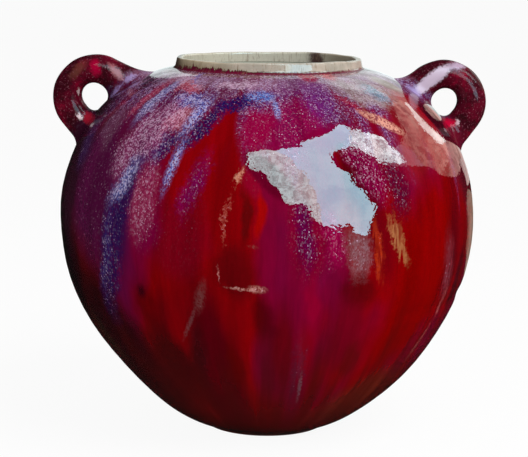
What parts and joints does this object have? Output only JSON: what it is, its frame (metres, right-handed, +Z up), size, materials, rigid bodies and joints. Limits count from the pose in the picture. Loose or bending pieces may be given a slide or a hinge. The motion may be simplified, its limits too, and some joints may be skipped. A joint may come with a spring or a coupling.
{
  "type": "lebes",
  "caption": "Turnip-shaped glazed stoneware vessel in the lebes form, with a short collar round a wide mouth, a small foot ring and rolled clay loop handles on the shoulder.",
  "frame": {"origin": "on the ground, at the middle of the vessel's bounding box, which is the axis that it was thrown on", "axes": "+Z up along the throwing axis, +X from the left handle to the right handle as the picture shows them, +Y away from the picture's camera"},
  "size_m": [0.293, 0.28, 0.2528],
  "materials": {
    "flambe_glaze": "thick flambe glaze, fired glossy, red breaking to violet, blue and grey",
    "handle_glaze": "the same glaze over a rolled coil, darker, fired glossy",
    "rim_glaze": "pale celadon where the glaze ran thin, glossy",
    "bare_clay": "unglazed iron-brown stoneware, matt"
  },
  "bodies": {
    "root": {"body": "flambe_glaze", "neck_collar": "rim_glaze", "foot_ring": "bare_clay", "right_handle": "handle_glaze", "left_handle": "handle_glaze"}
  },
  "joints": []
}
